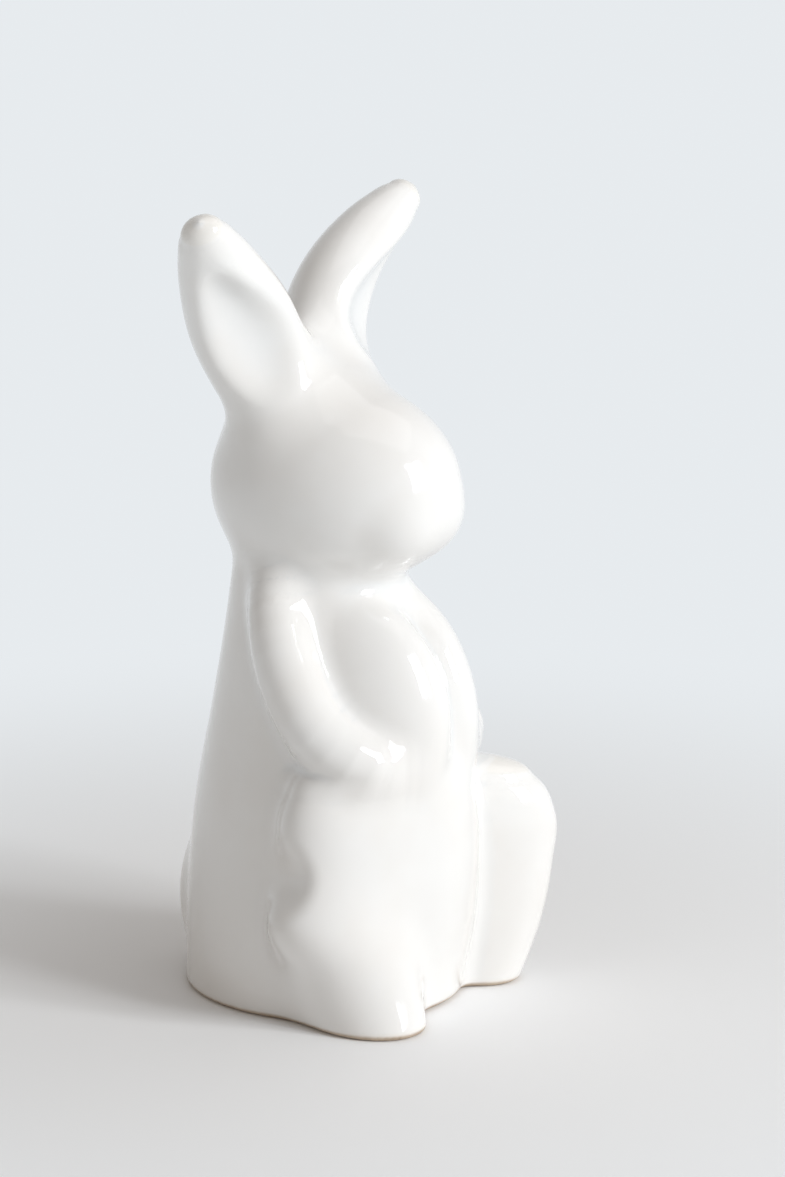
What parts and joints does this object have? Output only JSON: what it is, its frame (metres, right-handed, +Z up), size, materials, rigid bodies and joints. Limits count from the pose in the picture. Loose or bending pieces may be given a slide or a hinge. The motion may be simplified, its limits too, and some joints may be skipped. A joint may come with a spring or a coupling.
{
  "type": "ceramic rabbit figurine",
  "caption": "Small hollow figurine of a rabbit sitting upright with splayed ears and paws drawn up to its chest, in glossy white glazed earthenware, standing free on a flat unglazed foot rim.",
  "frame": {"origin": "middle of the figure's overall box, at the level of the foot rim that it stands on", "axes": "+Z up, the rabbit faces -Y, and its right side is -X"},
  "size_m": [0.0696, 0.0596, 0.1379],
  "materials": {
    "white_glaze": "clear gloss glaze over white earthenware",
    "bare_clay": "unglazed fired clay, matt"
  },
  "bodies": {
    "root": {"torso_shell": "white_glaze", "head_shell": "white_glaze", "ear_right": "white_glaze", "ear_left": "white_glaze", "arm_right": "white_glaze", "arm_left": "white_glaze", "leg_right": "white_glaze", "leg_left": "white_glaze", "tail": "white_glaze", "base_disc": "bare_clay"}
  },
  "joints": []
}
